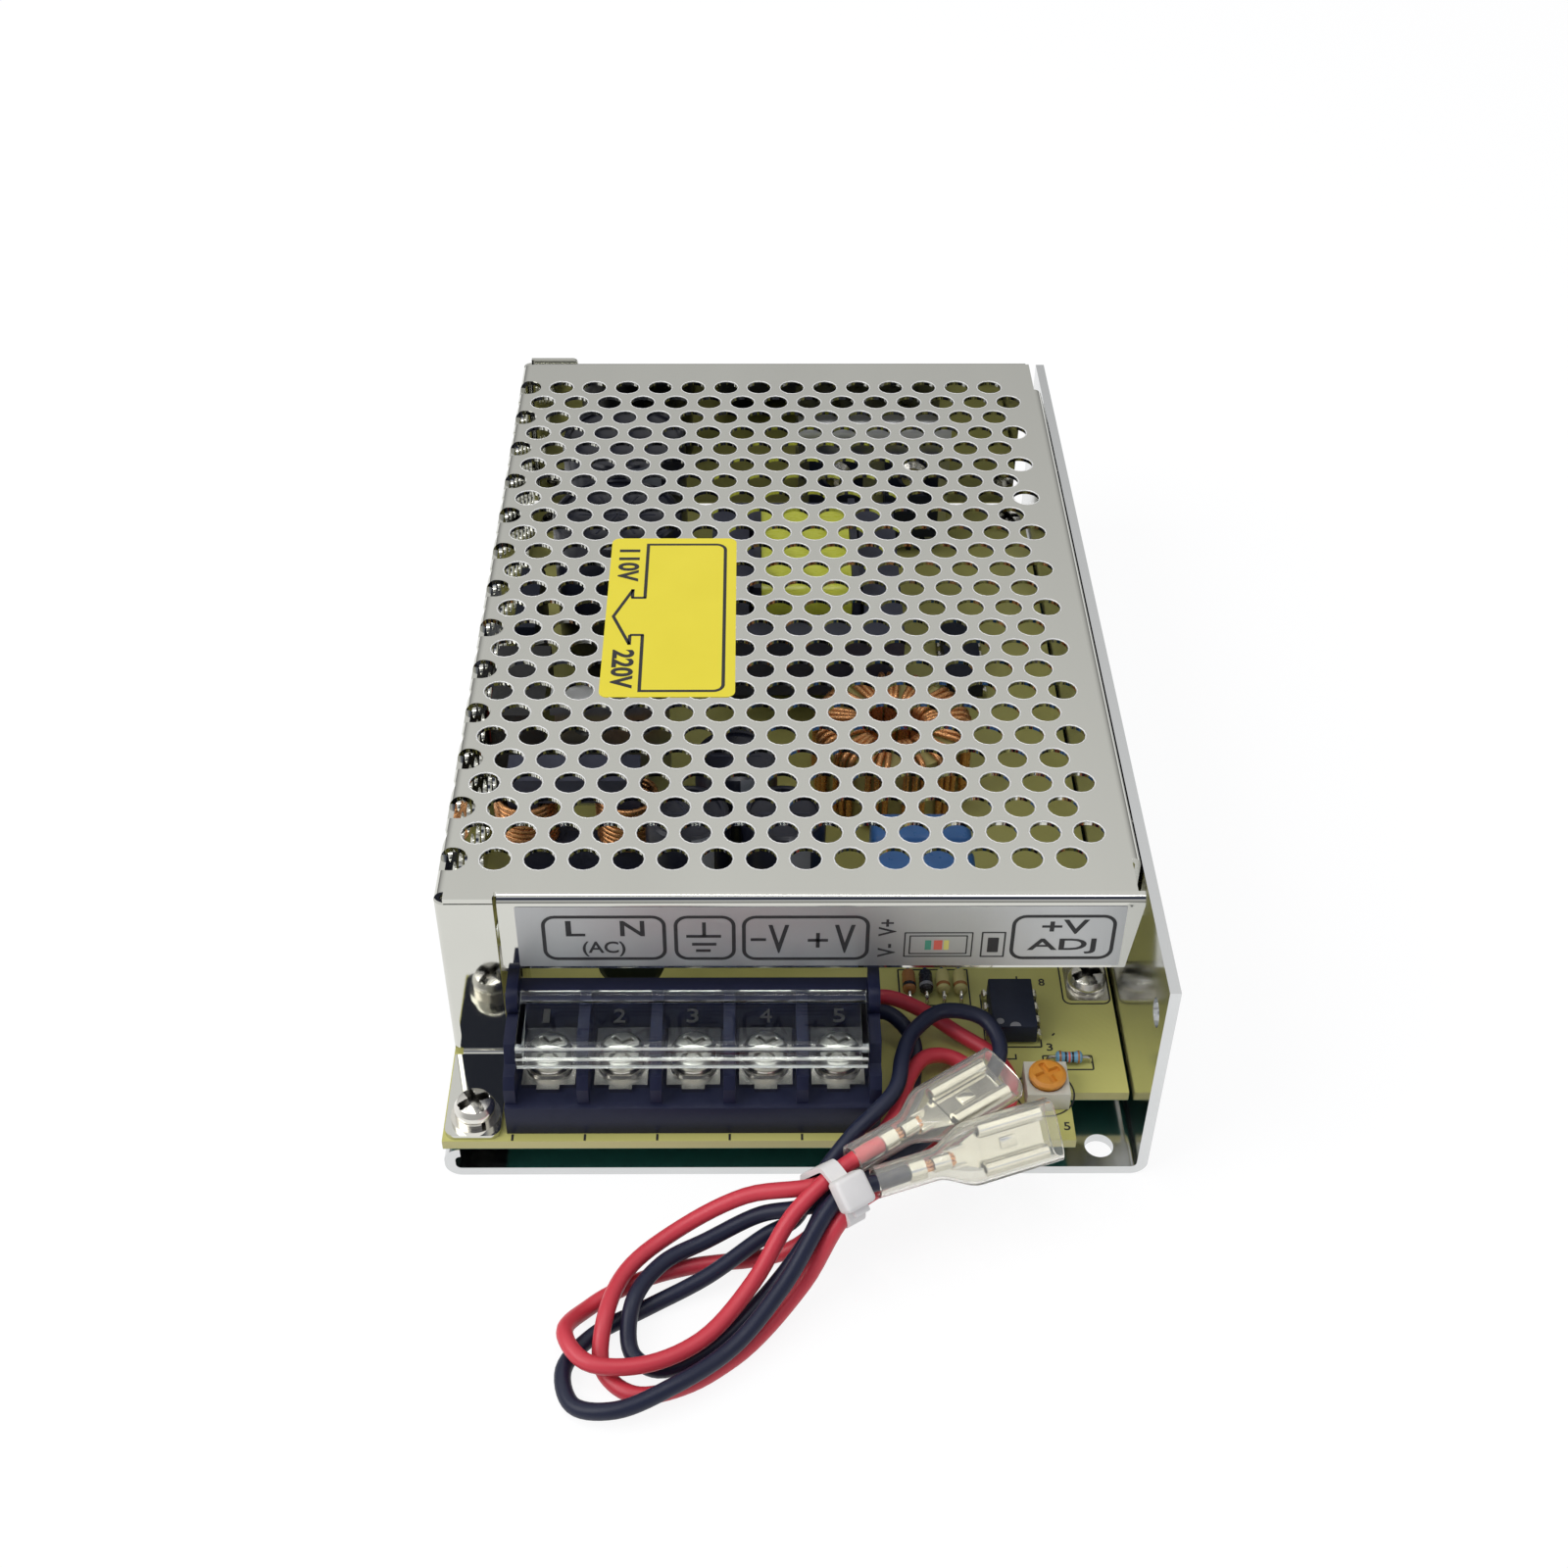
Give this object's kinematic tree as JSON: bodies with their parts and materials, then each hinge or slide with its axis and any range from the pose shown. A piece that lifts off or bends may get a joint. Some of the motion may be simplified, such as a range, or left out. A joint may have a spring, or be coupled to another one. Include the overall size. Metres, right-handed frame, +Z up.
{
  "type": "power supply",
  "caption": "Enclosed switching power supply: folded perforated metal cover on an aluminium chassis, screw terminals under a clear hinged flap, output trimmer and bundled output leads.",
  "frame": {"origin": "bottom centre of the case, on the underside of the chassis", "axes": "+X to the right seen from the terminals, +Y from the terminals to the back, +Z up"},
  "size_m": [0.097, 0.1981, 0.038],
  "materials": {
    "chassis": "satin",
    "cover": "bright",
    "main_board": "solder mask",
    "bright_screw": "plated",
    "terminal_body": "moulded",
    "contact_metal": "plated",
    "clear_flap": "clear plastic",
    "trimmer_base": "moulded",
    "trimmer_rotor": "moulded",
    "chip_black": "moulded",
    "diode": "glass body",
    "resistor_blue": "coated",
    "selector_body": "moulded",
    "selector_slider": "moulded",
    "fuse": "glass tube with metal caps",
    "thermistor": "coated",
    "ferrite": "sintered",
    "copper_wire": "enamelled",
    "can": "sleeved can",
    "tape": "tape",
    "heatsink": "plain",
    "powder_core": "coated",
    "blue_cap": "dipped",
    "optocoupler": "moulded",
    "red_lead": "soft plastic",
    "black_lead": "soft plastic",
    "tie": "natural",
    "clear_sleeve": "clear soft plastic"
  },
  "bodies": {
    "case": {"chassis": "chassis", "cover": "cover", "main_board": "main_board", "standoffs": "contact_metal", "board_screws": "bright_screw", "cover_screws": "bright_screw", "foot_screw": "bright_screw", "spring_washer": "bright_screw", "flat_washer": "bright_screw", "terminal_body": "terminal_body", "terminal_contacts": "contact_metal", "terminal_clamps": "contact_metal", "terminal_screws": "bright_screw", "trimmer_base": "trimmer_base", "control_chip": "chip_black", "signal_diodes": "diode", "blue_resistor": "resistor_blue", "selector_body": "selector_body", "fuse": "fuse", "fuse_clips": "contact_metal", "inrush_limiter": "thermistor", "line_choke_core": "ferrite", "line_choke_bobbin": "terminal_body", "line_choke_windings": "copper_wire", "bridge_rectifier": "chip_black", "bulk_capacitors": "can", "transformer_core": "ferrite", "transformer_bobbin": "terminal_body", "transformer_winding": "tape", "primary_heatsink": "heatsink", "switch_transistors": "chip_black", "secondary_heatsink": "heatsink", "output_rectifiers": "chip_black", "heatsink_screws": "bright_screw", "choke_core": "powder_core", "choke_winding": "copper_wire", "output_capacitors": "can", "blue_capacitors": "blue_cap", "driver_chip": "chip_black", "optocoupler": "optocoupler", "red_lead": "red_lead", "black_lead": "black_lead", "cable_tie": "tie", "red_spade": "contact_metal", "black_spade": "contact_metal", "red_sleeve": "clear_sleeve", "black_sleeve": "clear_sleeve"},
    "flap": {"terminal_flap": "clear_flap"},
    "trimmer": {"trimmer_rotor": "trimmer_rotor"},
    "selector": {"selector_slider": "selector_slider"}
  },
  "joints": [
    {"name": "flap_hinge", "type": "hinge", "parent": "case", "child": "flap", "pos_m": [-0.01415, -0.0656, 0.02085], "axis": [-1, 0, 0], "range_deg": [0, 90]},
    {"name": "trimmer_turn", "type": "hinge", "parent": "case", "child": "trimmer", "pos_m": [0.0348, -0.071, 0.0102], "axis": [0, 0, 1], "range_deg": [-135, 135]},
    {"name": "selector_slide", "type": "slide", "parent": "case", "child": "selector", "axis": [0, 1, 0], "range_m": [0, 0.005]}
  ]
}
